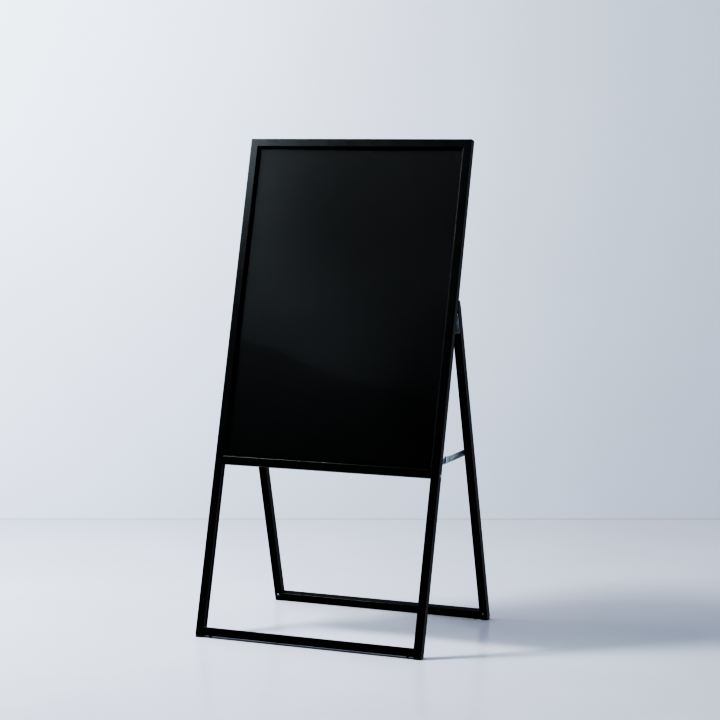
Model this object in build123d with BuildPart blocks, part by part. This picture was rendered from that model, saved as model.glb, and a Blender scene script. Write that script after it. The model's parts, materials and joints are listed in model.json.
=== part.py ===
from build123d import *
import math
import os

# A-frame pavement sign with one display face: two full-length side rails carry a framed board,
# and a U-shaped prop frame hinged behind the side rails is held open by a folding stay on each side.
# Millimetres, +Z up, the display face looks towards -Y, origin on the floor under the hinge axis.

# ---------------------------------------------------------------- driving dimensions
sign_width = 630.0          # over the outer faces of the side rails
side_rail_length = 1324.0   # along the rail, foot end to top corner
board_height = 877.0        # top edge of the top rail to the lower edge of the board rail
lean = 15.0                 # degrees that each frame leans from upright when open
face_width = 21.5           # rail section across its front face
section_depth = 21.0        # rail section front to back
edge_radius = 1.4           # outer corners of every rail section
wall = 1.6                  # rail wall
hinge_height = 870.0        # along both frames, foot end to hinge axis
hinge_gap = 4.5             # hinge axis to the back of the sign and to the front of the prop
foot_sole = 1.0             # thinnest part of a foot under its rail
prop_leg_length = 880.0     # tube of the prop leg, foot end to top end

# groove for the sheets, measured from the front face of the section
lip_width = 8.0             # solid-looking lip between the main cavity and the inner face
groove_front = 9.6
groove_depth = 5.5
cover_thickness = 1.0
insert_thickness = 0.4
backing_thickness = 2.8
sheet_edge = 4.5            # how far the sheets reach into the groove

# glazing bead round the opening
bead_width = 4.0
bead_front_outer = 2.2      # depth of the bead's front edge at the rail
bead_front_inner = 4.8      # depth of the bead's front edge at the opening

# corner fittings and plugs
fit_clearance = 0.1         # each side, plug in its cavity
key_arm = 45.0
plug_length = 30.0
foot_spigot = 45.0
foot_arm = 35.0
foot_inset = 1.2
glide_radius = 3.0
glide_from_rail = 18.0      # glide centre to the inner face of the side rail or leg
cap_spigot = 15.0
cap_front = 3.5
cap_rear = 22.0
cap_inset = 0.3
cap_taper = 3.0

# screws: head radius, head height, shank radius
rail_screw = (4.2, 1.5, 2.5)
corner_screw = (3.6, 1.4, 1.9)
hinge_screw = (3.4, 1.6, 2.0)
rail_screw_length = 41.5
corner_screw_length = 14.0
hinge_screw_length = 9.0
corner_screw_height = 16.0

# hinge
leaf_length = 54.0
leaf_width = 18.0
leaf_thickness = 1.8
knuckle_radius = 3.5
middle_knuckle = 6.6
knuckle_gap = 0.3
hinge_pin_radius = 1.8
pin_clearance = 0.08        # running clearance, each side
pin_head = (2.8, 0.8)       # radius, thickness
leaf_screw_drops = (15.0, 45.0)

# folding stays
stay_above_board = 34.0     # both outer pivots, above the board's lower edge, along each frame
stay_setback = 5.0          # front pivot behind the back of the side rail
stay_width = 16.0
stay_thickness = 2.0
stay_gap = 0.3              # between neighbouring moving plates
lug_clearance = 0.5         # bracket lug to the inner face of the rail
bracket_thickness = 1.7
bracket_length = 34.0
bracket_reach = 20.0
lug_length = 15.0
stay_pivot_radius = 2.7
stay_pivot_head = (4.5, 1.3)
stay_overhang = 26.0        # rear link past the middle pivot
stop_length = 8.0
bracket_screw_offset = 11.0

os.makedirs("parts", exist_ok=True)

# ---------------------------------------------------------------- the two frames and their stations
sin_lean = math.sin(math.radians(lean))
cos_lean = math.cos(math.radians(lean))
half_width = sign_width / 2
inner_face = half_width - face_width
rail_centre = half_width - face_width / 2
mid_depth = section_depth / 2
board_bottom = side_rail_length - board_height
stay_height = board_bottom + stay_above_board
opening_bottom = board_bottom + face_width
opening_top = side_rail_length - face_width
groove_back = groove_front + cover_thickness + insert_thickness + backing_thickness

# Both frames share one axis convention: local x across, local y front to back, local z up the frame.
foot_reach = hinge_height * sin_lean + hinge_gap * cos_lean
sign_frame = Plane(
    origin=(0, -foot_reach - section_depth * cos_lean, foot_sole + section_depth * sin_lean),
    x_dir=(1, 0, 0),
    z_dir=(0, sin_lean, cos_lean),
)
prop_frame = Plane(origin=(0, foot_reach, foot_sole), x_dir=(1, 0, 0), z_dir=(0, -sin_lean, cos_lean))


def looking_up(frame, across, depth, height):
    """Station whose sketch x is across, sketch y is front to back, and whose normal runs up the frame."""
    return Plane(frame.from_local_coords((across, depth, height)), x_dir=frame.x_dir, z_dir=frame.z_dir)


def looking_left(frame, across, depth, height):
    """Station whose sketch x runs up the frame, sketch y front to back, and whose normal points to -X."""
    return Plane(frame.from_local_coords((across, depth, height)), x_dir=frame.z_dir, z_dir=-frame.x_dir)


def looking_right(frame, across, depth, height):
    """Station whose sketch x is front to back, sketch y runs up the frame, and whose normal points to +X."""
    return Plane(frame.from_local_coords((across, depth, height)), x_dir=frame.y_dir, z_dir=frame.x_dir)


def looking_back(frame, across, depth, height):
    """Station whose normal leaves the back of the frame; sketch x is across and sketch y runs down."""
    return Plane(frame.from_local_coords((across, depth, height)), x_dir=frame.x_dir, z_dir=frame.y_dir)


def looking_front(frame, across, depth, height):
    """Station whose normal leaves the front of the frame; sketch x is across and sketch y runs up."""
    return Plane(frame.from_local_coords((across, depth, height)), x_dir=frame.x_dir, z_dir=-frame.y_dir)


def mitre_plane(frame, across, height, up):
    """45 degree plane through a corner; uprights lie behind its normal and cross members in front."""
    outward = 1 if across > 0 else -1
    return Plane(
        origin=frame.from_local_coords((across, 0, height)),
        z_dir=frame.x_dir * -outward + frame.z_dir * up,
    )


def finish(builder, name):
    """Label a finished piece and write it to its own file."""
    builder.part.label = name
    export_step(builder.part, f"parts/{name}.step")


def finish_pair(right, name):
    """Write the right-hand piece, then its mirror image for the left."""
    finish(right, f"{name}_right")
    with BuildPart() as left:
        mirror(right.part, about=Plane.YZ)
    finish(left, f"{name}_left")


# ---------------------------------------------------------------- shared sections and fasteners
main_cavity_width = face_width - wall - lip_width
main_cavity_shift = -(face_width / 2 - wall - main_cavity_width / 2)
cavity_depth = section_depth - 2 * wall
pocket_width = lip_width - 2 * wall + 0.6
front_pocket_depth = groove_front - 2 * wall + 0.4
rear_pocket_depth = section_depth - groove_back - 2 * wall + 0.4


def draw_board_section(inner):
    """Board rail extrusion about its centre, with its sheet groove opening towards sketch x times inner."""
    lip_centre = face_width / 2 - lip_width / 2
    RectangleRounded(face_width, section_depth, edge_radius)
    with Locations((inner * main_cavity_shift, 0)):
        Rectangle(main_cavity_width, cavity_depth, mode=Mode.SUBTRACT)
    with Locations((inner * (face_width / 2 - groove_depth / 2), (groove_front + groove_back) / 2 - mid_depth)):
        Rectangle(groove_depth, groove_back - groove_front, mode=Mode.SUBTRACT)
    with Locations((inner * lip_centre, wall + front_pocket_depth / 2 - mid_depth)):
        Rectangle(pocket_width, front_pocket_depth, mode=Mode.SUBTRACT)
    with Locations((inner * lip_centre, mid_depth - wall - rear_pocket_depth / 2)):
        Rectangle(pocket_width, rear_pocket_depth, mode=Mode.SUBTRACT)


def draw_tube_section():
    """Plain rectangular tube about its centre, used for the floor rails and the prop legs."""
    RectangleRounded(face_width, section_depth, edge_radius)
    Rectangle(face_width - 2 * wall, cavity_depth, mode=Mode.SUBTRACT)


def add_screw(seat, screw, length):
    """Pan head standing on the seat plane with a cross recess, and a shank running back from it."""
    head_radius, head_height, shank_radius = screw
    with BuildSketch(seat) as head:
        Circle(head_radius)
    extrude(head.sketch, amount=head_height, taper=14)
    with BuildSketch(seat) as shank:
        Circle(shank_radius)
    extrude(shank.sketch, amount=-length)
    with BuildSketch(seat.offset(head_height)) as recess:
        Rectangle(head_radius * 1.1, head_radius * 0.26)
        Rectangle(head_radius * 0.26, head_radius * 1.1)
    extrude(recess.sketch, amount=-head_height * 0.7, mode=Mode.SUBTRACT)


def drill_for(seat, screw, length):
    """Cut the shank of a screw out of the piece that it passes through."""
    with BuildSketch(seat) as hole:
        Circle(screw[2])
    extrude(hole.sketch, amount=-length, mode=Mode.SUBTRACT)


# stations of the screws, right-hand side; the left-hand ones are their mirror images
board_screw_height = board_bottom + wall + main_cavity_width / 2
board_screw_seat = looking_right(sign_frame, half_width, mid_depth, board_screw_height)
sign_corner_screw_seat = looking_back(sign_frame, rail_centre, section_depth, corner_screw_height)
prop_corner_screw_seat = looking_front(prop_frame, rail_centre, 0, corner_screw_height)
sign_leaf_screw_seats = [
    looking_back(sign_frame, rail_centre, section_depth + leaf_thickness, hinge_height - drop)
    for drop in leaf_screw_drops
]
prop_leaf_screw_seats = [
    looking_front(prop_frame, rail_centre, -leaf_thickness, hinge_height - drop)
    for drop in leaf_screw_drops
]
bracket_screw_seats = [
    looking_back(
        sign_frame,
        rail_centre - main_cavity_shift / 2,
        section_depth + bracket_thickness,
        stay_height + offset,
    )
    for offset in (-bracket_screw_offset, bracket_screw_offset)
]
lug_outer = inner_face - lug_clearance
lug_inner = lug_outer - bracket_thickness
rear_link_outer = lug_inner - stay_gap
rear_link_inner = rear_link_outer - stay_thickness
front_link_outer = rear_link_inner - stay_gap
front_link_inner = front_link_outer - stay_thickness

# ---------------------------------------------------------------- sign frame: rails
with BuildPart() as side_rail:
    with BuildSketch(looking_up(sign_frame, rail_centre, mid_depth, 0)):
        draw_board_section(-1)
    extrude(amount=side_rail_length)
    split(bisect_by=mitre_plane(sign_frame, half_width, side_rail_length, 1), keep=Keep.BOTTOM)
    # window for the arm of the corner foot
    arm_height = face_width - 2 * wall
    with BuildSketch(looking_right(sign_frame, inner_face, mid_depth, face_width / 2)):
        Rectangle(cavity_depth, arm_height)
    extrude(amount=lip_width, mode=Mode.SUBTRACT)
    drill_for(board_screw_seat, rail_screw, face_width)
    drill_for(sign_corner_screw_seat, corner_screw, corner_screw_length)
    for seat in sign_leaf_screw_seats:
        drill_for(seat, hinge_screw, hinge_screw_length)
    for seat in bracket_screw_seats:
        drill_for(seat, hinge_screw, hinge_screw_length)
finish_pair(side_rail, "side_rail")

with BuildPart() as top_rail:
    with BuildSketch(looking_left(sign_frame, half_width, mid_depth, side_rail_length - face_width / 2)):
        draw_board_section(-1)
    extrude(amount=sign_width)
    split(bisect_by=mitre_plane(sign_frame, half_width, side_rail_length, 1), keep=Keep.TOP)
    split(bisect_by=mitre_plane(sign_frame, -half_width, side_rail_length, 1), keep=Keep.TOP)
finish(top_rail, "top_rail")

with BuildPart() as board_rail:
    with BuildSketch(looking_left(sign_frame, inner_face, mid_depth, board_bottom + face_width / 2)):
        draw_board_section(1)
    extrude(amount=2 * inner_face)
finish(board_rail, "board_rail")

with BuildPart() as sign_floor_rail:
    with BuildSketch(looking_left(sign_frame, inner_face, mid_depth, face_width / 2)):
        draw_tube_section()
    extrude(amount=2 * inner_face)
finish(sign_floor_rail, "sign_floor_rail")

# ---------------------------------------------------------------- sign frame: glazing beads
def draw_bead_section(inner):
    """Bead against the rail's inner face; its front slopes down from the rail towards the opening."""
    with BuildLine() as outline:
        Polyline(
            (0, bead_front_outer - mid_depth),
            (inner * bead_width, bead_front_inner - mid_depth),
            (inner * bead_width, groove_front - mid_depth),
            (0, groove_front - mid_depth),
            close=True,
        )
    make_face(outline.edges())


with BuildPart() as side_bead:
    with BuildSketch(looking_up(sign_frame, inner_face, mid_depth, opening_bottom)):
        draw_bead_section(-1)
    extrude(amount=opening_top - opening_bottom)
    split(bisect_by=mitre_plane(sign_frame, inner_face, opening_top, 1), keep=Keep.BOTTOM)
    split(bisect_by=mitre_plane(sign_frame, inner_face, opening_bottom, -1), keep=Keep.BOTTOM)
finish_pair(side_bead, "bead")

for bead_name, bead_height, inward in (("bead_top", opening_top, -1), ("bead_bottom", opening_bottom, 1)):
    with BuildPart() as cross_bead:
        with BuildSketch(looking_left(sign_frame, inner_face, mid_depth, bead_height)):
            draw_bead_section(inward)
        extrude(amount=2 * inner_face)
        for corner in (-inner_face, inner_face):
            split(bisect_by=mitre_plane(sign_frame, corner, bead_height, -inward), keep=Keep.TOP)
    finish(cross_bead, bead_name)

# ---------------------------------------------------------------- sign frame: sheets in the groove
sheet_width = 2 * (inner_face + sheet_edge)
sheet_height = opening_top - opening_bottom + 2 * sheet_edge
sheet_centre = (opening_top + opening_bottom) / 2
sheet_front = groove_front
for sheet_name, thickness in (
    ("clear_cover", cover_thickness),
    ("insert_sheet", insert_thickness),
    ("backing_panel", backing_thickness),
):
    with BuildPart() as sheet:
        with BuildSketch(looking_back(sign_frame, 0, sheet_front, sheet_centre)):
            Rectangle(sheet_width, sheet_height)
        extrude(amount=thickness)
    finish(sheet, sheet_name)
    sheet_front += thickness

# ---------------------------------------------------------------- sign frame: keys, plugs and board screws
key_width = main_cavity_width - 2 * fit_clearance
key_depth = cavity_depth - 2 * fit_clearance
key_outer = wall + fit_clearance
with BuildPart() as corner_key:
    with BuildSketch(looking_back(sign_frame, half_width, mid_depth, side_rail_length)):
        with BuildLine():
            Polyline(
                (-key_outer, key_outer),
                (-key_outer, key_outer + key_arm),
                (-key_outer - key_width, key_outer + key_arm),
                (-key_outer - key_width, key_outer + key_width),
                (-key_outer - key_arm, key_outer + key_width),
                (-key_outer - key_arm, key_outer),
                close=True,
            )
        make_face()
    extrude(amount=key_depth / 2, both=True)
finish_pair(corner_key, "corner_key")

with BuildPart() as board_rail_plugs:
    with BuildSketch(looking_left(sign_frame, inner_face, mid_depth, board_screw_height)):
        Rectangle(key_width, key_depth)
    extrude(amount=plug_length)
    drill_for(board_screw_seat, rail_screw, rail_screw_length)
    mirror(about=Plane.YZ)
finish(board_rail_plugs, "board_rail_plugs")

with BuildPart() as board_rail_screws:
    add_screw(board_screw_seat, rail_screw, rail_screw_length)
    mirror(about=Plane.YZ)
finish(board_rail_screws, "board_rail_screws")


# ---------------------------------------------------------------- corner feet, glides and corner screws
def add_corner_foot(frame, spigot_width, spigot_across, screw_seat):
    """Moulded corner: a spigot up the upright, an arm into the floor rail and a wedge sole on the floor."""
    arm_section_height = face_width - 2 * wall - 2 * fit_clearance
    with BuildSketch(looking_up(frame, spigot_across, mid_depth, 0)) as spigot:
        Rectangle(spigot_width, key_depth)
    extrude(spigot.sketch, amount=foot_spigot)
    with BuildSketch(looking_left(frame, spigot_across, mid_depth, face_width / 2)) as arm:
        Rectangle(arm_section_height, key_depth)
    extrude(arm.sketch, amount=spigot_across - inner_face + foot_arm)
    with BuildSketch(looking_up(frame, rail_centre, mid_depth, 0)) as wedge:
        Rectangle(face_width - 2 * foot_inset, section_depth - 2 * foot_inset)
    extrude(wedge.sketch, amount=-section_depth)
    split(bisect_by=Plane.XY, keep=Keep.TOP)
    drill_for(screw_seat, corner_screw, corner_screw_length)


with BuildPart() as sign_foot:
    add_corner_foot(sign_frame, key_width, rail_centre - main_cavity_shift, sign_corner_screw_seat)
finish_pair(sign_foot, "sign_foot")

with BuildPart() as prop_foot:
    add_corner_foot(prop_frame, face_width - 2 * wall - 2 * fit_clearance, rail_centre, prop_corner_screw_seat)
finish_pair(prop_foot, "prop_foot")

for screws_name, screw_seat in (
    ("sign_corner_screws", sign_corner_screw_seat),
    ("prop_corner_screws", prop_corner_screw_seat),
):
    with BuildPart() as corner_screws:
        add_screw(screw_seat, corner_screw, corner_screw_length)
        mirror(about=Plane.YZ)
    finish(corner_screws, screws_name)

for glides_name, frame in (("sign_glides", sign_frame), ("prop_glides", prop_frame)):
    with BuildPart() as glides:
        with BuildSketch(looking_up(frame, inner_face - glide_from_rail, mid_depth, 0)):
            Circle(glide_radius)
        extrude(amount=-section_depth)
        split(bisect_by=Plane.XY, keep=Keep.TOP)
        mirror(about=Plane.YZ)
    finish(glides, glides_name)

# ---------------------------------------------------------------- prop frame: legs, floor rail and top caps
with BuildPart() as prop_leg:
    with BuildSketch(looking_up(prop_frame, rail_centre, mid_depth, 0)):
        draw_tube_section()
    extrude(amount=prop_leg_length)
    # window for the arm of the corner foot
    with BuildSketch(looking_right(prop_frame, inner_face, mid_depth, face_width / 2)):
        Rectangle(cavity_depth, face_width - 2 * wall)
    extrude(amount=wall, mode=Mode.SUBTRACT)
    drill_for(prop_corner_screw_seat, corner_screw, wall)
    for seat in prop_leaf_screw_seats:
        drill_for(seat, hinge_screw, hinge_screw_length)
    with BuildSketch(looking_right(prop_frame, inner_face, mid_depth, stay_height)):
        Circle(stay_pivot_radius)
    extrude(amount=wall, mode=Mode.SUBTRACT)
finish_pair(prop_leg, "prop_leg")

with BuildPart() as prop_floor_rail:
    with BuildSketch(looking_left(prop_frame, inner_face, mid_depth, face_width / 2)):
        draw_tube_section()
    extrude(amount=2 * inner_face)
finish(prop_floor_rail, "prop_floor_rail")

with BuildPart() as prop_cap:
    cap_width = face_width - 2 * cap_inset
    with BuildSketch(looking_right(prop_frame, half_width - cap_inset - cap_width, 0, prop_leg_length)):
        with BuildLine():
            Polyline(
                (cap_inset, 0),
                (cap_inset, cap_front),
                (section_depth - cap_taper - cap_inset - 2 * edge_radius, cap_rear),
                (section_depth - cap_taper - cap_inset, cap_rear - edge_radius),
                (section_depth - cap_inset, edge_radius),
                (section_depth - cap_inset, 0),
                close=True,
            )
        make_face()
    extrude(amount=cap_width)
    with BuildSketch(looking_up(prop_frame, rail_centre, mid_depth, prop_leg_length)):
        Rectangle(face_width - 2 * wall - 2 * fit_clearance, key_depth)
    extrude(amount=-cap_spigot)
finish_pair(prop_cap, "prop_cap")


# ---------------------------------------------------------------- hinges
def add_leaf(frame, seat_depth, outward, knuckle_spans, clear_spans):
    """Hinge leaf lying on a rail: a plate, knuckles on some spans and relief cut-outs on the others."""
    leaf_start = rail_centre - leaf_width / 2
    seat = looking_right(frame, leaf_start, seat_depth, hinge_height)
    with BuildSketch(seat) as plate:
        with Locations((outward * leaf_thickness / 2, -leaf_length / 2)):
            Rectangle(leaf_thickness, leaf_length)
    extrude(plate.sketch, amount=leaf_width)
    for start, end in clear_spans:
        with BuildSketch(seat.offset(start)) as relief:
            with Locations((outward * hinge_gap, 0)):
                Circle(knuckle_radius + knuckle_gap)
        extrude(relief.sketch, amount=end - start, mode=Mode.SUBTRACT)
    for start, end in knuckle_spans:
        with BuildSketch(seat.offset(start)) as knuckle:
            with Locations((outward * hinge_gap, 0)):
                Circle(knuckle_radius)
            with Locations((outward * hinge_gap / 2, -knuckle_radius / 2)):
                Rectangle(hinge_gap, knuckle_radius)
        extrude(knuckle.sketch, amount=end - start)


outer_knuckle = (leaf_width - middle_knuckle) / 2 - knuckle_gap
outer_spans = ((0, outer_knuckle), (leaf_width - outer_knuckle, leaf_width))
middle_span = ((leaf_width - middle_knuckle) / 2, (leaf_width + middle_knuckle) / 2)
middle_clear_span = (outer_knuckle, leaf_width - outer_knuckle)
outer_clear_spans = ((0, middle_span[0]), (middle_span[1], leaf_width))
hinge_pin_length = leaf_width + pin_head[1]
hinge_bore_seat = looking_right(
    sign_frame, rail_centre - leaf_width / 2, section_depth + hinge_gap, hinge_height
)

with BuildPart() as sign_leaf:
    add_leaf(sign_frame, section_depth, 1, outer_spans, (middle_clear_span,))
    with BuildSketch(hinge_bore_seat):
        Circle(hinge_pin_radius)
    extrude(amount=leaf_width, mode=Mode.SUBTRACT)
    for seat in sign_leaf_screw_seats:
        drill_for(seat, hinge_screw, leaf_thickness)
finish_pair(sign_leaf, "hinge_sign_leaf")

with BuildPart() as prop_leaf:
    add_leaf(prop_frame, 0, -1, (middle_span,), outer_clear_spans)
    with BuildSketch(hinge_bore_seat):
        Circle(hinge_pin_radius + pin_clearance)
    extrude(amount=leaf_width, mode=Mode.SUBTRACT)
    for seat in prop_leaf_screw_seats:
        drill_for(seat, hinge_screw, leaf_thickness)
finish_pair(prop_leaf, "hinge_prop_leaf")

with BuildPart() as hinge_pins:
    with BuildSketch(hinge_bore_seat):
        Circle(hinge_pin_radius)
    extrude(amount=leaf_width)
    for end_plane in (hinge_bore_seat.offset(leaf_width), hinge_bore_seat.offset(-pin_head[1])):
        with BuildSketch(end_plane):
            Circle(pin_head[0])
        extrude(amount=pin_head[1])
    mirror(about=Plane.YZ)
finish(hinge_pins, "hinge_pins")

for screws_name, seats in (
    ("hinge_sign_screws", sign_leaf_screw_seats),
    ("hinge_prop_screws", prop_leaf_screw_seats),
    ("stay_bracket_screws", bracket_screw_seats),
):
    with BuildPart() as leaf_screws:
        for seat in seats:
            add_screw(seat, hinge_screw, hinge_screw_length)
        mirror(about=Plane.YZ)
    finish(leaf_screws, screws_name)

# ---------------------------------------------------------------- folding stays
front_pivot = sign_frame.from_local_coords((0, section_depth + stay_setback, stay_height))
rear_pivot = prop_frame.from_local_coords((0, mid_depth, stay_height))
link_length = (rear_pivot - front_pivot).length / 2
middle_pivot = (front_pivot + rear_pivot) * 0.5
along_stay = (rear_pivot - front_pivot).normalized()


def stay_station(point, across):
    """Station on a stay: sketch x runs back along the links, sketch y up, normal to +X."""
    return Plane(origin=(across, point.Y, point.Z), x_dir=along_stay, z_dir=(1, 0, 0))


def add_disc(point, start, end, radius, mode=Mode.ADD):
    """Disc square across the stay between two distances from the centre plane."""
    with BuildSketch(stay_station(point, start)) as disc:
        Circle(radius)
    extrude(disc.sketch, amount=end - start, mode=mode)


with BuildPart() as stay_bracket:
    # foot of the bracket on the back of the side rail
    foot_span = half_width - wall - lug_inner
    with BuildSketch(looking_back(sign_frame, lug_inner + foot_span / 2, section_depth, stay_height)):
        RectangleRounded(foot_span, bracket_length, 1.5)
    extrude(amount=bracket_thickness)
    # lug that carries the front pivot
    with BuildSketch(looking_right(sign_frame, lug_inner, section_depth, stay_height)):
        with Locations((stay_setback / 2, 0)):
            Rectangle(stay_setback, lug_length)
        with Locations((stay_setback, 0)):
            Circle(lug_length / 2)
    extrude(amount=bracket_thickness)
    # what the rounding of the lug leaves in front of the rail's back face is cut away
    with BuildSketch(looking_right(sign_frame, lug_inner, 0, stay_height)):
        with Locations((section_depth / 2, 0)):
            Rectangle(section_depth, lug_length)
    extrude(amount=bracket_thickness, mode=Mode.SUBTRACT)
    add_disc(front_pivot, lug_inner, lug_outer, stay_pivot_radius, Mode.SUBTRACT)
    for seat in bracket_screw_seats:
        drill_for(seat, hinge_screw, bracket_thickness)
finish_pair(stay_bracket, "stay_bracket")

with BuildPart() as front_rivet:
    head_radius, head_height = stay_pivot_head
    add_disc(front_pivot, front_link_inner - stay_gap, lug_outer, stay_pivot_radius)
    add_disc(front_pivot, front_link_outer + stay_gap, lug_inner, head_radius)
    add_disc(front_pivot, front_link_inner - stay_gap - head_height, front_link_inner - stay_gap, head_radius)
finish_pair(front_rivet, "stay_front_rivet")

with BuildPart() as rear_rivet:
    add_disc(rear_pivot, rear_link_inner, inner_face + wall, stay_pivot_radius)
    add_disc(rear_pivot, rear_link_outer + stay_gap, inner_face, head_radius)
    add_disc(rear_pivot, rear_link_inner - stay_gap - head_height, rear_link_inner - stay_gap, head_radius)
    add_disc(rear_pivot, rear_link_inner - stay_gap, rear_link_inner, stay_pivot_radius)
finish_pair(rear_rivet, "stay_rear_rivet")

pivot_hole_radius = stay_pivot_radius + stay_gap
with BuildPart() as front_link:
    with BuildSketch(stay_station(front_pivot, front_link_inner)):
        with Locations((link_length / 2, 0)):
            SlotCenterToCenter(link_length, stay_width)
    extrude(amount=stay_thickness)
    add_disc(front_pivot, front_link_inner, front_link_outer, pivot_hole_radius, Mode.SUBTRACT)
    add_disc(middle_pivot, front_link_inner, front_link_outer, stay_pivot_radius, Mode.SUBTRACT)
finish_pair(front_link, "stay_front_link")

with BuildPart() as rear_link:
    with BuildSketch(stay_station(middle_pivot, rear_link_inner)):
        with Locations((link_length / 2, 0)):
            SlotCenterToCenter(link_length, stay_width)
        with Locations((-stay_overhang / 2, 0)):
            Rectangle(stay_overhang, stay_width)
        with Locations((stop_length / 2 - stay_overhang, stay_width / 2 + stay_thickness / 2)):
            Rectangle(stop_length, stay_thickness)
    extrude(amount=stay_thickness)
    # stop tab bent over the top edge of the front link
    with BuildSketch(stay_station(middle_pivot, front_link_inner)):
        with Locations((stop_length / 2 - stay_overhang, stay_width / 2 + (stay_thickness + stay_gap) / 2)):
            Rectangle(stop_length, stay_thickness - stay_gap)
    extrude(amount=rear_link_inner - front_link_inner)
    add_disc(rear_pivot, rear_link_inner, rear_link_outer, pivot_hole_radius, Mode.SUBTRACT)
    add_disc(middle_pivot, rear_link_inner, rear_link_outer, stay_pivot_radius, Mode.SUBTRACT)
finish_pair(rear_link, "stay_rear_link")

with BuildPart() as middle_rivet_front:
    add_disc(middle_pivot, front_link_inner, front_link_outer, stay_pivot_radius)
    add_disc(middle_pivot, front_link_inner - head_height, front_link_inner, head_radius)
finish_pair(middle_rivet_front, "middle_rivet_front")

with BuildPart() as middle_rivet_rear:
    add_disc(middle_pivot, rear_link_inner, rear_link_outer, stay_pivot_radius)
    add_disc(middle_pivot, rear_link_outer, rear_link_outer + head_height, head_radius)
finish_pair(middle_rivet_rear, "middle_rivet_rear")
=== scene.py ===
import json
import math

import bpy
from mathutils import Matrix, Vector


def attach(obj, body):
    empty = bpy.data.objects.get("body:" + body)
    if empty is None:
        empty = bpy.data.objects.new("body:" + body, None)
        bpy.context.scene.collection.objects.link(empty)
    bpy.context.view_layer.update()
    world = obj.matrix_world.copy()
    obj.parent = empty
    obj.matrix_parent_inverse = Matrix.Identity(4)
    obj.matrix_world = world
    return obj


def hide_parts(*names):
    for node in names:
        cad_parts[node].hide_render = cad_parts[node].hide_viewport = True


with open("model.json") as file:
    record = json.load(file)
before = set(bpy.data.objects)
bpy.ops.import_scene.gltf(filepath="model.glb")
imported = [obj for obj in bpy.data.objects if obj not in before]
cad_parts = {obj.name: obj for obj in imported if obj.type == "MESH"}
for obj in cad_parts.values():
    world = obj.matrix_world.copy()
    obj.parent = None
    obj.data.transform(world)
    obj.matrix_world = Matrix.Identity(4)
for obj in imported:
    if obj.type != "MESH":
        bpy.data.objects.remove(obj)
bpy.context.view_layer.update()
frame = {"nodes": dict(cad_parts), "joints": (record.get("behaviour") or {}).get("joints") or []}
cad = frame["nodes"]
bpy.ops.object.select_all(action="DESELECT")


# ---------------------------------------------------------------- steel frames
# The rails are thin square steel tube with rounded corners, mitred at the top of the board and butted
# everywhere else. Everything is powder coated satin black, which leaves a faint orange-peel surface.
def new_group(name, inputs, outputs):
    """Empty shader node group with float inputs (name, default) and outputs (name, socket type)."""
    group = bpy.data.node_groups.new(name, "ShaderNodeTree")
    for label, default in inputs:
        socket = group.interface.new_socket(label, in_out="INPUT", socket_type="NodeSocketFloat")
        socket.default_value = default
    for label, kind in outputs:
        group.interface.new_socket(label, in_out="OUTPUT", socket_type=kind)
    return group, group.nodes.new("NodeGroupInput"), group.nodes.new("NodeGroupOutput")


def object_noise(tree, scale, detail=3.0, stretch=None):
    """Noise on the piece's own coordinates; scale is in waves per metre."""
    place = tree.nodes.new("ShaderNodeTexCoord")
    noise = tree.nodes.new("ShaderNodeTexNoise")
    noise.inputs["Detail"].default_value = detail
    if isinstance(scale, (int, float)):
        noise.inputs["Scale"].default_value = scale
    else:
        tree.links.new(scale, noise.inputs["Scale"])
    if stretch is None:
        tree.links.new(place.outputs["Object"], noise.inputs["Vector"])
    else:
        mapping = tree.nodes.new("ShaderNodeMapping")
        mapping.inputs["Scale"].default_value = stretch
        tree.links.new(place.outputs["Object"], mapping.inputs["Vector"])
        tree.links.new(mapping.outputs["Vector"], noise.inputs["Vector"])
    return noise.outputs["Fac"]


def remap(tree, value, low, high, to_low, to_high):
    """Straight-line change of range, clamped at both ends."""
    node = tree.nodes.new("ShaderNodeMapRange")
    node.inputs["From Min"].default_value = low
    node.inputs["From Max"].default_value = high
    node.inputs["To Min"].default_value = to_low
    node.inputs["To Max"].default_value = to_high
    tree.links.new(value, node.inputs["Value"])
    return node.outputs["Result"]


def calculate(tree, operation, first, second):
    """Math node on two sockets or numbers; products and sums stay within 0 and 1."""
    node = tree.nodes.new("ShaderNodeMath")
    node.operation = operation
    node.use_clamp = operation in ("MULTIPLY", "ADD")
    for socket, value in zip(node.inputs, (first, second)):
        if isinstance(value, (int, float)):
            socket.default_value = value
        else:
            tree.links.new(value, socket)
    return node.outputs["Value"]


def blend_colours(tree, mask, first, second):
    """Colour mix by a mask; each colour is three numbers or a socket."""
    node = tree.nodes.new("ShaderNodeMix")
    node.data_type = "RGBA"
    for label, colour in (("A", first), ("B", second)):
        if isinstance(colour, bpy.types.NodeSocket):
            tree.links.new(colour, node.inputs[label])
        else:
            node.inputs[label].default_value = (*colour, 1)
    tree.links.new(mask, node.inputs["Factor"])
    return node.outputs["Result"]


def split_axes(tree, vector):
    """Outputs X, Y and Z of a vector socket."""
    node = tree.nodes.new("ShaderNodeSeparateXYZ")
    tree.links.new(vector, node.inputs["Vector"])
    return node.outputs


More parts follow.
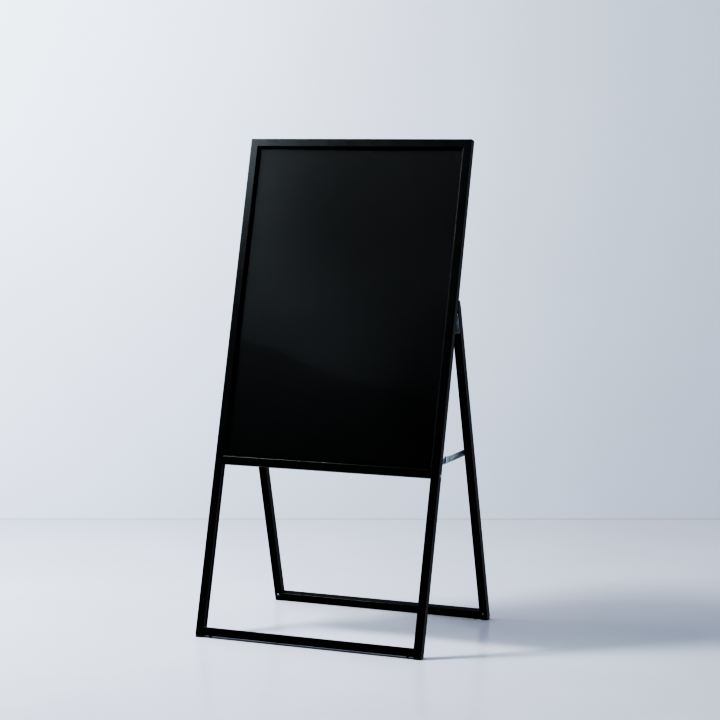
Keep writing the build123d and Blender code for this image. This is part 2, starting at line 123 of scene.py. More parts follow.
# dust that settles in specks on upward faces; shared by most finishes
dust_group, dust_in, dust_out = new_group(
    "settled_dust", (("Amount", 0.5), ("Speck Scale", 160.0)), (("Mask", "NodeSocketFloat"),)
)
surface = dust_group.nodes.new("ShaderNodeNewGeometry")
slope = split_axes(dust_group, surface.outputs["Normal"])["Z"]
facing_up = remap(dust_group, slope, 0.35, 1.0, 0.0, 1.0)
speck_noise = object_noise(dust_group, dust_in.outputs["Speck Scale"], 6.0)
specks = remap(dust_group, speck_noise, 0.42, 0.72, 0.0, 1.0)
drifts = remap(dust_group, object_noise(dust_group, 14.0, 2.0), 0.35, 0.7, 0.25, 1.0)
dust_mask = calculate(dust_group, "MULTIPLY", facing_up, specks)
dust_mask = calculate(dust_group, "MULTIPLY", dust_mask, drifts)
dust_mask = calculate(dust_group, "MULTIPLY", dust_mask, dust_in.outputs["Amount"])
dust_group.links.new(dust_mask, dust_out.inputs["Mask"])

# fine grain for the height and slow blotches for the gloss, in every coated or moulded finish
grain_group, grain_in, grain_out = new_group(
    "surface_grain",
    (("Scale", 900.0),),
    (("Height", "NodeSocketFloat"), ("Blotches", "NodeSocketFloat")),
)
fine_grain = object_noise(grain_group, grain_in.outputs["Scale"], 2.0)
grain_group.links.new(fine_grain, grain_out.inputs["Height"])
grain_group.links.new(object_noise(grain_group, 22.0, 4.0), grain_out.inputs["Blotches"])


def add_group(tree, group, values):
    """Places a shared effect in a material with its own values."""
    node = tree.nodes.new("ShaderNodeGroup")
    node.node_tree = group
    for label, value in values.items():
        node.inputs[label].default_value = value
    return node


def new_finish(name, metallic=0.0, specular=0.5):
    """Material with a Principled shader; returns the material, its tree and the shader."""
    material = bpy.data.materials.new(name)
    material.use_nodes = True
    shader = material.node_tree.nodes["Principled BSDF"]
    shader.inputs["Metallic"].default_value = metallic
    shader.inputs["Specular IOR Level"].default_value = specular
    return material, material.node_tree, shader


def add_bump(tree, shader, height, strength, distance):
    """Feeds a height through a Bump node to the shader."""
    bump = tree.nodes.new("ShaderNodeBump")
    bump.inputs["Strength"].default_value = strength
    bump.inputs["Distance"].default_value = distance
    tree.links.new(height, bump.inputs["Height"])
    tree.links.new(bump.outputs["Normal"], shader.inputs["Normal"])


def dusty_finish(name, colour, dust_colour, roughness, grain_scale, grain_depth, dust, specular=0.3):
    """Coated or moulded dark surface: grain in the height, blotches in the gloss, dust on top."""
    gloss_spread = 0.03
    dust_roughness = 0.4
    bump_strength = 0.35
    material, tree, shader = new_finish(name, specular=specular)
    grain = add_group(tree, grain_group, {"Scale": grain_scale})
    settled = add_group(tree, dust_group, {"Amount": dust})
    tinted = blend_colours(tree, settled.outputs["Mask"], colour, dust_colour)
    tree.links.new(tinted, shader.inputs["Base Color"])
    glossy, dull = roughness - gloss_spread, roughness + gloss_spread
    gloss = remap(tree, grain.outputs["Blotches"], 0.3, 0.7, glossy, dull)
    dulled = calculate(tree, "MULTIPLY", settled.outputs["Mask"], dust_roughness)
    gloss = calculate(tree, "ADD", gloss, dulled)
    tree.links.new(gloss, shader.inputs["Roughness"])
    add_bump(tree, shader, grain.outputs["Height"], bump_strength, grain_depth)
    return material


def paint(nodes, material):
    """Gives CAD nodes their finish."""
    for node in nodes:
        cad[node].data.materials.clear()
        cad[node].data.materials.append(material)


powder_coat = dusty_finish(
    "powder_coat", (0.0025, 0.0027, 0.0030), (0.05, 0.05, 0.05), 0.28, 1100.0, 0.00006, 0.25, 0.26
)
rails = (
    "side_rail_left",
    "side_rail_right",
    "top_rail",
    "board_rail",
    "sign_floor_rail",
    "prop_leg_left",
    "prop_leg_right",
    "prop_floor_rail",
)
paint(rails, powder_coat)

# ---------------------------------------------------------------- glazing beads
# Narrow strips of semi-gloss black plastic, mitred at the corners. They press into the groove in front of
# the sheets and hold them against its back wall.
bead_black = dusty_finish(
    "bead_black", (0.0035, 0.0037, 0.0042), (0.03, 0.03, 0.03), 0.30, 500.0, 0.00005, 0.15, 0.22
)
paint(("bead_left", "bead_right", "bead_top", "bead_bottom"), bead_black)

# ---------------------------------------------------------------- sheets in the frame
# A polished clear cover, a plain black printed insert and a matt foamed plastic backing board. They sit in
# the groove of the rails as one stack, and the thin cover bows a little, which bends what it mirrors.
cover_clear, cover_tree, cover_shader = new_finish("cover_clear")
cover_shader.inputs["Base Color"].default_value = (0.94, 0.96, 0.97, 1)
cover_shader.inputs["Transmission Weight"].default_value = 1.0
cover_shader.inputs["IOR"].default_value = 1.49
wipe_noise = object_noise(cover_tree, 3.2, 5.0, (1.0, 0.4, 0.4))
cover_wipe = remap(cover_tree, wipe_noise, 0.4, 0.7, 0.0, 0.02)
cover_tree.links.new(cover_wipe, cover_shader.inputs["Roughness"])
cover_at = cover_tree.nodes.new("ShaderNodeTexCoord")
cover_axes = split_axes(cover_tree, cover_at.outputs["Object"])
bow_reach = 0.24
bow_low = 0.62
bow_high = 1.1
bow_depth = 0.0065
bow_across = remap(cover_tree, cover_axes["X"], -bow_reach, bow_reach, 0.0, 1.0)
bow_across.node.interpolation_type = "SMOOTHSTEP"
bow_up = remap(cover_tree, cover_axes["Z"], bow_low, bow_high, 0.5, -0.5)
bow_up.node.interpolation_type = "SMOOTHSTEP"
cover_bow = calculate(cover_tree, "MULTIPLY", bow_across, bow_up)
cover_bow.node.use_clamp = False
add_bump(cover_tree, cover_shader, cover_bow, 1.0, bow_depth)
paint(("clear_cover",), cover_clear)

insert_black = dusty_finish(
    "insert_black", (0.0045, 0.0047, 0.0052), (0.02, 0.02, 0.02), 0.6, 2600.0, 0.00001, 0.0
)
paint(("insert_sheet",), insert_black)

board_black = dusty_finish(
    "board_black", (0.030, 0.030, 0.032), (0.1, 0.1, 0.098), 0.55, 420.0, 0.0002, 0.25
)
paint(("backing_panel",), board_black)

# ---------------------------------------------------------------- moulded fittings
# Feet, caps, corner keys and plugs are moulded black nylon with a fine texture, and push into the ends of
# the tubes. The glides under the feet are matt rubber.
nylon_black = dusty_finish(
    "nylon_black", (0.014, 0.014, 0.015), (0.12, 0.12, 0.115), 0.5, 1500.0, 0.00012, 0.4
)
paint(
    (
        "corner_key_left",
        "corner_key_right",
        "board_rail_plugs",
        "sign_foot_left",
        "sign_foot_right",
        "prop_foot_left",
        "prop_foot_right",
    ),
    nylon_black,
)
glide_rubber = dusty_finish(
    "glide_rubber", (0.012, 0.012, 0.012), (0.15, 0.15, 0.14), 0.7, 900.0, 0.0001, 0.3
)
paint(("sign_glides", "prop_glides"), glide_rubber)


def select_only(piece):
    """Deselects all but one piece and makes it the active one."""
    bpy.ops.object.select_all(action="DESELECT")
    piece.select_set(True)
    bpy.context.view_layer.objects.active = piece


def finish_piece(piece, name, edge_rounding, body, node, material):
    """Rounds the sharp edges, smooths, and ties the piece to its body, CAD node and finish."""
    select_only(piece)
    piece.name = name
    if edge_rounding:
        bevel = piece.modifiers.new("edge_rounding", "BEVEL")
        bevel.width = edge_rounding
        bevel.segments = 2
        bevel.angle_limit = math.radians(35)
        bpy.ops.object.modifier_apply(modifier=bevel.name)
    bpy.ops.object.shade_smooth_by_angle(angle=math.radians(32))
    piece.data.materials.clear()
    piece.data.materials.append(material)
    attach(piece, body)
    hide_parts(node)
    bpy.ops.object.select_all(action="DESELECT")


def pick(piece, kind, wanted):
    """Edit mode with only the faces or edges selected that pass the test."""
    bpy.ops.object.mode_set(mode="EDIT")
    bpy.ops.mesh.select_mode(type=kind)
    bpy.ops.mesh.select_all(action="DESELECT")
    bpy.ops.object.mode_set(mode="OBJECT")
    parts = piece.data.polygons if kind == "FACE" else piece.data.edges
    for part in parts:
        part.select = wanted(part)
    bpy.ops.object.mode_set(mode="EDIT")


def edge_ends(piece, edge):
    """The two corner points of an edge."""
    return [piece.data.vertices[index].co for index in edge.vertices]


def edge_span(piece, edge):
    """How far an edge reaches along each axis."""
    first, second = edge_ends(piece, edge)
    return Vector([abs(a - b) for a, b in zip(first, second)])


def cut(piece, place, normal):
    """Loop round the whole piece where a plane crosses it."""
    bpy.ops.object.mode_set(mode="EDIT")
    bpy.ops.mesh.select_all(action="SELECT")
    bpy.ops.mesh.bisect(plane_co=place, plane_no=normal)


def push(offset):
    """Extrudes the picked faces by an offset."""
    bpy.ops.mesh.extrude_region_move(TRANSFORM_OT_translate={"value": offset})


def add_block(low, high):
    """Box between two corners."""
    centre = [(a + b) / 2 for a, b in zip(low, high)]
    sides = [b - a for a, b in zip(low, high)]
    bpy.ops.mesh.primitive_cube_add(size=1, location=centre, scale=sides)
    bpy.ops.object.transform_apply(location=True, rotation=True, scale=True)
    return bpy.context.object


def copy_piece(piece, matrix):
    """Another of the same piece with its own mesh, moved by a matrix."""
    twin = piece.copy()
    twin.data = piece.data.copy()
    twin.data.transform(matrix)
    if matrix.determinant() < 0:
        twin.data.flip_normals()
    bpy.context.scene.collection.objects.link(twin)
    select_only(twin)
    return twin


def join_pieces(pieces):
    """Several loose pieces as one object."""
    select_only(pieces[0])
    for piece in pieces:
        piece.select_set(True)
    bpy.ops.object.join()
    return bpy.context.object


def finish_both(right, name, edge_rounding, bodies, node, material):
    """Makes the left-hand twin of a right-hand piece and finishes the two; bodies are (right, left)."""
    left = copy_piece(right, Matrix.Scale(-1, 4, (1, 0, 0)))
    for piece, hand, body in ((right, "right", bodies[0]), (left, "left", bodies[1])):
        finish_piece(piece, f"{name}_{hand}", edge_rounding, body, f"{node}_{hand}", material)


# both frames lean from the hinge axis; x is across, y to the back, z up the frame from that axis
joints = {joint["name"]: joint for joint in frame["joints"]}
lean = math.radians(joints["prop_fold"]["range_deg"][1]) / 2
hinge_axis = Vector(joints["prop_fold"]["pos_m"])
sign_place = Matrix.Translation(hinge_axis) @ Matrix.Rotation(-lean, 4, "X")
prop_place = Matrix.Translation(hinge_axis) @ Matrix.Rotation(lean, 4, "X")
rail_x = 0.30425
rail_gap = 0.0045
sign_bodies = ("sign_frame", "sign_frame")
prop_bodies = ("prop_frame", "prop_frame")

# places closer than this count as one, and an edge shorter than this along an axis is square to it
near = 0.0001
short = 0.001


# cap on each prop leg: wedge-shaped, low at the front so that it clears the sign as the frames fold
cap_inner = 0.2938
cap_outer = 0.3147
cap_front = 0.0003
cap_back = 0.0207
cap_low = 0.0035
cap_high = 0.022
cap_upper = 0.02
cap_seat = 0.010
ridge_y = 0.0149
cap_base = prop_place @ Matrix.Translation((0, rail_gap, cap_seat))
cap = add_block((cap_inner, cap_front, 0), (cap_outer, cap_back, cap_high))
cut(cap, (0, ridge_y, 0), (0, 1, 0))
pick(
    cap,
    "EDGE",
    lambda edge: all(
        end.z > cap_upper and end.y < cap_front + near for end in edge_ends(cap, edge)
    ),
)
bpy.ops.transform.translate(value=(0, 0, cap_low - cap_high))
pick(
    cap,
    "EDGE",
    lambda edge: all(
        end.z > cap_upper and end.y > cap_back - near for end in edge_ends(cap, edge)
    ),
)
bpy.ops.transform.translate(value=(0, -0.003, -0.0014))
pick(
    cap,
    "EDGE",
    lambda edge: all(end.z > cap_upper for end in edge_ends(cap, edge))
    and edge_span(cap, edge).x > short,
)
bpy.ops.mesh.bevel(offset=0.0016, segments=4, affect="EDGES")
bpy.ops.object.mode_set(mode="OBJECT")
cap.data.transform(cap_base)
finish_both(cap, "leg_cap", 0.0008, prop_bodies, "prop_cap", nylon_black)

# ---------------------------------------------------------------- zinc-plated fittings
# Hinges, stays, rivets and screws are pressed or turned mild steel, zinc plated with a clear blue
# passivation, so the metal is bright with cool and faint straw patches and fine rolling marks.
zinc, zinc_tree, zinc_shader = new_finish("zinc_plate", metallic=0.8)
zinc_patches = remap(zinc_tree, object_noise(zinc_tree, 75.0, 4.0), 0.38, 0.62, 0.0, 1.0)
zinc_tint = blend_colours(zinc_tree, zinc_patches, (0.42, 0.60, 0.68), (0.66, 0.69, 0.71))
straw_patches = remap(zinc_tree, object_noise(zinc_tree, 33.0, 2.0), 0.58, 0.72, 0.0, 0.55)
zinc_colour = blend_colours(zinc_tree, straw_patches, zinc_tint, (0.66, 0.60, 0.46))
zinc_tree.links.new(zinc_colour, zinc_shader.inputs["Base Color"])
zinc_gloss = remap(zinc_tree, object_noise(zinc_tree, 320.0, 5.0), 0.3, 0.7, 0.22, 0.4)
zinc_tree.links.new(zinc_gloss, zinc_shader.inputs["Roughness"])
rolling_marks = object_noise(zinc_tree, 260.0, 3.0, (6.0, 0.7, 0.7))
add_bump(zinc_tree, zinc_shader, rolling_marks, 0.12, 0.00003)


# ---------------------------------------------------------------- hinges
# Two strap hinges in plated sheet 1.8 mm thick. Each leaf is cranked off its rail and its tabs are rolled
# round a headed pin: two outer knuckles on the sign leaf, one middle knuckle on the prop leaf.
leaf_half = 0.009
leaf_left = rail_x - leaf_half
leaf_right = rail_x + leaf_half
leaf_drop = 0.054
leaf_sheet = 0.0018
leaf_face = rail_gap - leaf_sheet
plate_corner = 0.003
tab_start = -0.006
tab_crank = 0.0010
roll_drop = 0.0012
roll_turn = math.radians(292)


def model_leaf(side, tabs):
    """Leaf on the side -1 of the sign or +1 of the prop; tabs are the spans in x that are rolled."""
    seat = side * rail_gap
    face = side * leaf_face
    leaf = add_block(
        (leaf_left, min(seat, face), -leaf_drop), (leaf_right, max(seat, face), tab_start)
    )
    pick(
        leaf,
        "EDGE",
        lambda edge: all(end.z < near - leaf_drop for end in edge_ends(leaf, edge))
        and edge_span(leaf, edge).y > short,
    )
    bpy.ops.mesh.bevel(offset=plate_corner, segments=6, affect="EDGES")
    for start, end in tabs:
        for station in (start, end):
            if leaf_left < station < leaf_right:
                cut(leaf, (station, 0, 0), (1, 0, 0))
    for start, end in tabs:
        pick(leaf, "FACE", lambda part: part.normal.z > 0.9 and start < part.center.x < end)
        push((0, -side * tab_crank, -tab_start - roll_drop))
        push((0, 0, roll_drop))
        bpy.ops.mesh.spin(
            steps=22, angle=side * roll_turn, center=(rail_x, 0, 0), axis=(1, 0, 0)
        )
    bpy.ops.mesh.select_all(action="SELECT")
    bpy.ops.mesh.remove_doubles(threshold=0.00001)
    bpy.ops.mesh.normals_make_consistent(inside=False)
    bpy.ops.object.mode_set(mode="OBJECT")
    return leaf


outer_tab = 0.0054
middle_tab = 0.0033
sign_tabs = ((leaf_left, leaf_left + outer_tab), (leaf_right - outer_tab, leaf_right))
prop_tabs = ((rail_x - middle_tab, rail_x + middle_tab),)
hinge_leaves = (
    (-1, sign_tabs, "sign", sign_place, sign_bodies),
    (1, prop_tabs, "prop", prop_place, prop_bodies),
)
for side, tabs, owner, place, bodies in hinge_leaves:
    leaf = model_leaf(side, tabs)
    leaf.data.transform(place)
    finish_both(
        leaf, f"{owner}_hinge_leaf", 0.00022, bodies, f"hinge_{owner}_leaf", zinc
    )


def model_turned(start, steps, rim):
    """Pin or rivet turned about the x axis: a first disc, then (length, radius) steps; rim rounds heads."""
    length, radius = steps[0]
    bpy.ops.mesh.primitive_cylinder_add(
        vertices=40, radius=radius, depth=length, location=(start + length / 2, 0, 0),
        rotation=(0, math.pi / 2, 0),
    )
    bpy.ops.object.transform_apply(location=True, rotation=True, scale=True)
    turned = bpy.context.object
    pick(turned, "FACE", lambda part: part.normal.x > 0.9)
    for length, next_radius in steps[1:]:
        scale = next_radius / radius
        push((0, 0, 0))
        bpy.ops.transform.resize(value=(1, scale, scale), center_override=(0, 0, 0))
        push((length, 0, 0))
        radius = next_radius
    bpy.ops.object.mode_set(mode="OBJECT")
    widest = max(step[1] for step in steps)
    ends = (start, start + sum(step[0] for step in steps))
    pick(
        turned,
        "EDGE",
        lambda edge: all(
            min(abs(end.x - ends[0]), abs(end.x - ends[1])) < 0.00001
            and math.hypot(end.y, end.z) > widest - near
            for end in edge_ends(turned, edge)
        ),
    )
    bpy.ops.mesh.bevel(offset=rim, segments=5, affect="EDGES")
    bpy.ops.object.mode_set(mode="OBJECT")
    return turned


pin_head = (0.0008, 0.0028)
pin_shank = (0.018, 0.00165)
pin = model_turned(leaf_left - pin_head[0], (pin_head, pin_shank, pin_head), 0.0006)
left_pin = copy_piece(pin, Matrix.Translation((-2 * rail_x, 0, 0)))
hinge_pin_pair = join_pieces((pin, left_pin))
hinge_pin_pair.data.transform(Matrix.Translation(hinge_axis))
finish_piece(hinge_pin_pair, "hinge_pin_pair", 0, "sign_frame", "hinge_pins", zinc)

# ---------------------------------------------------------------- folding stays
# A two-link stay each side: a cranked bracket on the rail, two flat bars with round ends, and a tab bent
# from the rear bar that stops on the front bar when the frames are open. Domed rivets join them.
front_pivot = Vector(joints["front_link_turn_right"]["pos_m"])
rear_pivot = Vector(joints["rear_link_turn_right"]["pos_m"])
middle_pivot = (front_pivot + rear_pivot) / 2
middle_pivot.x = 0
half_span = (rear_pivot - front_pivot).length / 2
stay_slope = math.atan2(rear_pivot.z - front_pivot.z, rear_pivot.y - front_pivot.y)
stay_place = Matrix.Translation(middle_pivot) @ Matrix.Rotation(stay_slope, 4, "X")
bar_half = 0.008
bar_thickness = 0.002
front_bar_x = 0.2867
rear_bar_x = 0.2890
lug_x = 0.2913
tab_gap = 0.0003
overhang = 0.026
tab_length = 0.008
plate_edge = 0.0003

# an end is rounded by just under half its width, so that its two corners don't meet
full_round = 0.999


def round_bar_end(bar, towards, offset):
    """Rounds the two corners of a flat bar at one end."""
    far_end = max(towards * corner.co.y for corner in bar.data.vertices)
    pick(
        bar,
        "EDGE",
        lambda edge: all(towards * end.y > far_end - near for end in edge_ends(bar, edge))
        and edge_span(bar, edge).x > short,
    )
    bpy.ops.mesh.bevel(offset=offset, segments=14, affect="EDGES")
    bpy.ops.object.mode_set(mode="OBJECT")


front_bar = add_block(
    (front_bar_x, -half_span - bar_half, -bar_half),
    (front_bar_x + bar_thickness, bar_half, bar_half),
)
for towards in (-1, 1):
    round_bar_end(front_bar, towards, bar_half * full_round)
front_bar.data.transform(stay_place)
front_bodies = ("front_link_right", "front_link_left")
finish_both(
    front_bar, "stay_front_bar", plate_edge, front_bodies, "stay_front_link", zinc
)

rear_bar = add_block(
    (rear_bar_x, -overhang, -bar_half),
    (rear_bar_x + bar_thickness, half_span + bar_half, bar_half),
)
round_bar_end(rear_bar, 1, bar_half * full_round)
cut(rear_bar, (0, tab_length - overhang, 0), (0, 1, 0))
pick(
    rear_bar,
    "FACE",
    lambda part: part.normal.z > 0.99 and part.center.y < tab_length - overhang,
)
push((0, 0, tab_gap))
push((0, 0, bar_thickness - tab_gap))
pick(
    rear_bar,
    "FACE",
    lambda part: part.normal.x < -0.99 and part.center.z > bar_half + tab_gap,
)
push((front_bar_x - rear_bar_x, 0, 0))
bpy.ops.object.mode_set(mode="OBJECT")
rear_bar.data.transform(stay_place)
rear_bodies = ("rear_link_right", "rear_link_left")
finish_both(
    rear_bar, "stay_rear_bar", plate_edge, rear_bodies, "stay_rear_link", zinc
)

# bracket: a foot on the back of the rail with a lug bent off its inner edge, in the sign's own axes
pivot_height = -0.389
lug_half = 0.0075
lug_to_pivot = 0.0033
bracket_sheet = 0.0017
foot_half = 0.017
foot_outer = 0.3134
foot_y = -rail_gap
foot_face = foot_y + bracket_sheet
bracket = add_block(
    (lug_x, foot_y, pivot_height - foot_half), (foot_outer, foot_face, pivot_height + foot_half)
)
pick(
    bracket,
    "EDGE",
    lambda edge: all(end.x > foot_outer - near for end in edge_ends(bracket, edge))
    and edge_span(bracket, edge).y > short,
)
bpy.ops.mesh.bevel(offset=plate_corner, segments=6, affect="EDGES")
cut(bracket, (lug_x + bracket_sheet, 0, 0), (1, 0, 0))
for station in (pivot_height - lug_half, pivot_height + lug_half):
    cut(bracket, (0, 0, station), (0, 0, 1))
pick(
    bracket,
    "FACE",
    lambda part: part.normal.y > 0.99
    and part.center.x < lug_x + bracket_sheet
    and abs(part.center.z - pivot_height) < lug_half,
)
push((0, lug_to_pivot, 0))
push((0, lug_half, 0))
round_bar_end(bracket, 1, lug_half * full_round)
bracket.data.transform(sign_place)
finish_both(
    bracket, "stay_rail_foot", plate_edge, sign_bodies, "stay_bracket", zinc
)

# rivets: a domed head and a shank, and at the outer pivots a collar that spaces the bar from the lug or
# the leg; each step is its length and radius
shank = 0.0027
collar = 0.0045
head = (0.0013, collar)
front_steps = (head, (0.0026, shank), (0.0023, collar), (0.0017, shank))
rear_steps = (head, (0.0026, shank), (0.0022, collar), (0.0016, shank))
middle_shank = (0.0020, shank)
rivets = (
    (front_pivot, 0.2851, front_steps, sign_bodies, "stay_front_rivet"),
    (rear_pivot, 0.2874, rear_steps, prop_bodies, "stay_rear_rivet"),
    (middle_pivot, 0.2854, (head, middle_shank), front_bodies, "middle_rivet_front"),
    (middle_pivot, 0.2890, (middle_shank, head), rear_bodies, "middle_rivet_rear"),
)
for pivot, start, steps, bodies, node in rivets:
    rivet = model_turned(start, steps, 0.0009)
    rivet.data.transform(Matrix.Translation((0, pivot.y, pivot.z)))
    finish_both(rivet, f"domed_{node}", 0, bodies, node, zinc)

# ---------------------------------------------------------------- screws
# Pan-head screws with a cross recess, plated like the hinges: six in the hinge leaves and the bracket on
# each side, one in each foot, and one in each end of the board rail.
def model_screw(head_radius, head_height, shank_radius, shank_length):
    """Screw with its head on z = 0 and its shank below: domed head, tapered cross recess."""
    point = 0.001
    recess_reach = head_radius * 0.58
    recess_half = head_radius * 0.14
    bpy.ops.mesh.primitive_cylinder_add(
        vertices=48, radius=head_radius, depth=head_height, location=(0, 0, head_height / 2)
    )
    bpy.ops.object.transform_apply(location=True, rotation=True, scale=True)
    screw = bpy.context.object
    pick(
        screw,
        "EDGE",
        lambda edge: all(end.z > head_height * 0.9 for end in edge_ends(screw, edge)),
    )
    bpy.ops.mesh.bevel(offset=head_height * 0.62, segments=6, affect="EDGES")
    pick(screw, "FACE", lambda part: part.normal.z < -0.9)
    bpy.ops.mesh.inset(thickness=head_radius - shank_radius)
    push((0, 0, -shank_length + point))
    push((0, 0, -point))
    bpy.ops.transform.resize(value=(0.55, 0.55, 1), center_override=(0, 0, 0))
    bpy.ops.object.mode_set(mode="OBJECT")
    slots = []
    for quarter in (0, 1):
        slot = add_block(
            (-recess_reach, -recess_half, head_height * 0.35),
            (recess_reach, recess_half, head_height * 1.4),
        )
        pick(slot, "FACE", lambda part: part.normal.z < -0.9)
        bpy.ops.transform.resize(value=(0.35, 0.6, 1), center_override=(0, 0, 0))
        bpy.ops.object.mode_set(mode="OBJECT")
        slot.data.transform(Matrix.Rotation(quarter * math.pi / 2, 4, "Z"))
        slots.append(slot)
    for slot in slots:
        select_only(screw)
        recess = screw.modifiers.new("recess", "BOOLEAN")
        recess.object = slot
        recess.operation = "DIFFERENCE"
        bpy.ops.object.modifier_apply(modifier=recess.name)
    for slot in slots:
        bpy.data.objects.remove(slot)
    return screw


facing_back = Matrix.Rotation(math.radians(-90), 4, "X")
facing_front = Matrix.Rotation(math.radians(90), 4, "X")
facing_right = Matrix.Rotation(math.radians(90), 4, "Y")
facing_left = Matrix.Rotation(math.radians(-90), 4, "Y")
rail_outside = 0.315
board_screw_y = -0.015
board_screw_height = -0.41545
foot_screw_height = -0.854
leaf_screw_heights = (-0.015, -0.045)
bracket_screw_x = 0.30585
bracket_screw_offsets = (-0.011, 0.011)

# head radius, head height, shank radius, shank length
board_screw = (0.0042, 0.0015, 0.0025, 0.0415)
foot_screw = (0.0036, 0.0014, 0.0019, 0.014)
plate_screw = (0.0034, 0.0016, 0.0020, 0.009)
screw_sets = (
    ("board_rail_screws", "sign_frame", board_screw, sign_place, (
        (facing_right, (rail_outside, board_screw_y, board_screw_height)),
        (facing_left, (-rail_outside, board_screw_y, board_screw_height)),
    )),
    ("sign_corner_screws", "sign_frame", foot_screw, sign_place, tuple(
        (facing_back, (x, -rail_gap, foot_screw_height)) for x in (-rail_x, rail_x)
    )),
    ("prop_corner_screws", "prop_frame", foot_screw, prop_place, tuple(
        (facing_front, (x, rail_gap, foot_screw_height)) for x in (-rail_x, rail_x)
    )),
    ("hinge_sign_screws", "sign_frame", plate_screw, sign_place, tuple(
        (facing_back, (x, -leaf_face, z)) for x in (-rail_x, rail_x) for z in leaf_screw_heights
    )),
    ("hinge_prop_screws", "prop_frame", plate_screw, prop_place, tuple(
        (facing_front, (x, leaf_face, z)) for x in (-rail_x, rail_x) for z in leaf_screw_heights
    )),
    ("stay_bracket_screws", "sign_frame", plate_screw, sign_place, tuple(
        (facing_back, (x, foot_face, pivot_height + offset))
        for x in (-bracket_screw_x, bracket_screw_x)
        for offset in bracket_screw_offsets
    )),
)
for node, body, sizes, place, seats in screw_sets:
    first_screw = model_screw(*sizes)
    screws = []
    for number, (facing, seat) in enumerate(seats):
        turn_of_slot = Matrix.Rotation(math.radians(23 + 37 * number), 4, "Z")
        seat_place = place @ Matrix.Translation(seat) @ facing @ turn_of_slot
        screws.append(copy_piece(first_screw, seat_place))
    bpy.data.objects.remove(first_screw)
    finish_piece(join_pieces(screws), f"{node}_set", 0, body, node, zinc)

# ---------------------------------------------------------------- studio
# Painted floor and wall with soft mottling. A key light hangs high on the left, a second light brightens
# the wall, and a small cool light by the sign's upper left corner reaches only the rails.
camera_place = Vector((2.279, -5.1403, 1.315))
camera_yaw = 0.4104
camera_pitch = 0.0932
forward = Vector((-math.sin(camera_yaw), math.cos(camera_yaw), 0))
aim = forward * math.cos(camera_pitch) - Vector((0, 0, math.sin(camera_pitch)))
camera_data = bpy.data.cameras.new("camera")
camera_data.sensor_width = 36.0
camera_data.lens = 108.3
camera_data.shift_y = -0.0417
camera = bpy.data.objects.new("camera", camera_data)
camera.location = camera_place
camera.rotation_euler = aim.to_track_quat("-Z", "Y").to_euler()
bpy.context.scene.collection.objects.link(camera)
bpy.context.scene.camera = camera

wall_distance = 7.2
room_width = 16
floor_depth = 12
wall_height = 5
wall_colour = (0.69, 0.742, 0.825)
floor_colour = (0.67, 0.695, 0.785)
wall_foot = Vector((camera_place.x, camera_place.y, 0)) + forward * wall_distance
turn = Matrix.Rotation(camera_yaw, 4, "Z")


def mottled(tree, colour, scale, detail):
    """Paint in soft blotches, a few per cent darker and lighter than its colour."""
    blotches = remap(tree, object_noise(tree, scale, detail), 0.3, 0.7, 0.0, 1.0)
    darker = [tone * 0.965 for tone in colour]
    lighter = [tone * 1.03 for tone in colour]
    return blend_colours(tree, blotches, darker, lighter)


bpy.ops.mesh.primitive_plane_add(size=1)
floor = bpy.context.object
floor.name = "studio_floor"
floor.data.transform(
    Matrix.Translation(wall_foot)
    @ turn
    @ Matrix.Translation((0, -floor_depth / 2, 0))
    @ Matrix.Diagonal((room_width, floor_depth, 1, 1))
)
floor_paint, floor_tree, floor_shader = new_finish("floor_paint", specular=0.3)
floor_tone = mottled(floor_tree, floor_colour, 2.3, 6.0)
floor_tree.links.new(floor_tone, floor_shader.inputs["Base Color"])
floor_gloss = remap(floor_tree, object_noise(floor_tree, 1.6, 2.0), 0.3, 0.7, 0.18, 0.22)
floor_tree.links.new(floor_gloss, floor_shader.inputs["Roughness"])
floor.data.materials.append(floor_paint)

bpy.ops.mesh.primitive_plane_add(size=1)
wall = bpy.context.object
wall.name = "studio_wall"
wall.data.transform(
    Matrix.Translation(wall_foot)
    @ turn
    @ Matrix.Translation((0, 0, wall_height / 2))
    @ Matrix.Rotation(math.radians(90), 4, "X")
    @ Matrix.Diagonal((room_width, wall_height, 1, 1))
)
wall_paint, wall_tree, wall_shader = new_finish("wall_paint", specular=0.2)
wall_tone = mottled(wall_tree, wall_colour, 1.1, 7.0)
wall_at = wall_tree.nodes.new("ShaderNodeTexCoord")
wall_rise = split_axes(wall_tree, wall_at.outputs["Object"])["Z"]
foot_line = remap(wall_tree, wall_rise, 0.003, 0.007, 1.0, 0.0)
wall_tone = blend_colours(wall_tree, foot_line, wall_tone, (0.58, 0.62, 0.69))
wall_tree.links.new(wall_tone, wall_shader.inputs["Base Color"])
wall_shader.inputs["Roughness"].default_value = 0.9

# the wall can be seen through from behind, so that a view from the back isn't blocked
wall_back = wall_tree.nodes.new("ShaderNodeNewGeometry")
wall_clear = wall_tree.nodes.new("ShaderNodeBsdfTransparent")
wall_mix = wall_tree.nodes.new("ShaderNodeMixShader")
wall_end = wall_tree.nodes["Material Output"]
wall_tree.links.new(wall_back.outputs["Backfacing"], wall_mix.inputs["Fac"])
wall_tree.links.new(wall_shader.outputs["BSDF"], wall_mix.inputs[1])
wall_tree.links.new(wall_clear.outputs["BSDF"], wall_mix.inputs[2])
wall_tree.links.new(wall_mix.outputs["Shader"], wall_end.inputs["Surface"])
wall.data.materials.append(wall_paint)
for backdrop_piece in (floor, wall):
    backdrop_piece.visible_glossy = False


def add_light(name, place, target, size, power, colour=(1, 1, 1)):
    """Square soft light aimed at a point."""
    data = bpy.data.lights.new(name, "AREA")
    data.size = size
    data.energy = power
    data.color = colour
    light = bpy.data.objects.new(name, data)
    light.location = place
    light.rotation_euler = (Vector(target) - Vector(place)).to_track_quat("-Z", "Y").to_euler()
    light.visible_camera = False
    bpy.context.scene.collection.objects.link(light)
    return light


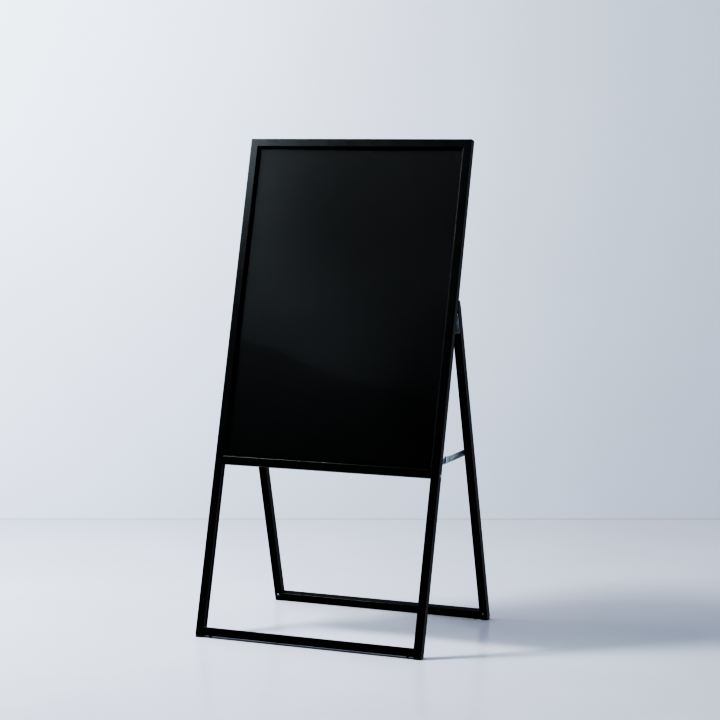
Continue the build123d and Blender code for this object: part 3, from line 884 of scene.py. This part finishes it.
camera_right = Vector((math.cos(camera_yaw), math.sin(camera_yaw), 0))
sign_corner = Vector((-0.304, 0.086, 1.262))
corner_light = add_light(
    "corner_light",
    sign_corner + Vector((-0.84, -0.93, 0.66)),
    sign_corner,
    0.5,
    7.0,
    (0.74, 0.93, 1.0),
)
lit_rails = bpy.data.collections.new("lit_rails")
for node in rails:
    lit_rails.objects.link(cad[node])
corner_light.light_linking.receiver_collection = lit_rails

# the key light leaves out the bottom bead, which would otherwise show a hard highlight
key_place = camera_right * -1.5 + forward * -0.1 + Vector((0, 0, 2.7))
key_light = add_light("key_light", key_place, (0.1, 0.0, 0.4), 0.42, 61)
unlit_pieces = bpy.data.collections.new("unlit_pieces")
unlit_pieces.objects.link(cad["bead_bottom"])
unlit_pieces.collection_objects[0].light_linking.link_state = "EXCLUDE"
key_light.light_linking.receiver_collection = unlit_pieces

wall_light_place = wall_foot + camera_right * -3.0 + forward * -1.5 + Vector((0, 0, 2.4))
wall_light_target = wall_foot + camera_right * -2.3 + Vector((0, 0, 0.9))
add_light("wall_light", wall_light_place, wall_light_target, 1.2, 66)

# mirrored rays see a dark room with a pale card up on the left, a fill at the side and windows behind
world = bpy.data.worlds.new("studio_world")
bpy.context.scene.world = world
world.use_nodes = True
world_tree = world.node_tree
background = world_tree.nodes["Background"]
direction = world_tree.nodes.new("ShaderNodeTexCoord")
ray_axes = split_axes(world_tree, direction.outputs["Generated"])
towards_left = remap(world_tree, ray_axes["X"], -0.37, -0.47, 0.0, 1.0)
towards_left = calculate(world_tree, "POWER", towards_left, 1.5)
towards_top = remap(world_tree, ray_axes["Z"], 0.29, 0.45, 0.0, 1.0)
card_edge = remap(world_tree, ray_axes["Z"], 0.359, 0.361, 0.42, 1.0)
card_top = remap(world_tree, ray_axes["Z"], 0.52, 0.68, 1.0, 0.0)
side_fill = remap(world_tree, ray_axes["X"], -0.65, -0.85, 0.0, 0.7)
glow = calculate(world_tree, "ADD", towards_left, 0.17)
glow = calculate(world_tree, "MULTIPLY", glow, towards_top)
glow = calculate(world_tree, "MULTIPLY", glow, card_edge)
glow = calculate(world_tree, "MULTIPLY", glow, card_top)
glow = calculate(world_tree, "ADD", glow, side_fill)
room_front = blend_colours(world_tree, glow, (0.009, 0.010, 0.011), (0.52, 0.62, 0.66))
behind = remap(world_tree, ray_axes["Y"], 0.1, 0.75, 0.0, 1.0)
window_side = calculate(world_tree, "ABSOLUTE", ray_axes["X"], 0.0)
window_glow = remap(world_tree, window_side, 0.56, 0.74, 0.0, 1.0)
room_behind = blend_colours(world_tree, window_glow, (0.23, 0.25, 0.28), (1.5, 1.6, 1.7))
room = blend_colours(world_tree, behind, room_front, room_behind)

# all other rays see an even pale light
ambient = (0.262, 0.295, 0.337)
seen = world_tree.nodes.new("ShaderNodeLightPath")
backdrop = blend_colours(world_tree, seen.outputs["Is Glossy Ray"], ambient, room)
world_tree.links.new(backdrop, background.inputs["Color"])
bpy.context.scene.view_settings.look = "AgX - Very High Contrast"
bpy.context.scene.view_settings.exposure = 0.35
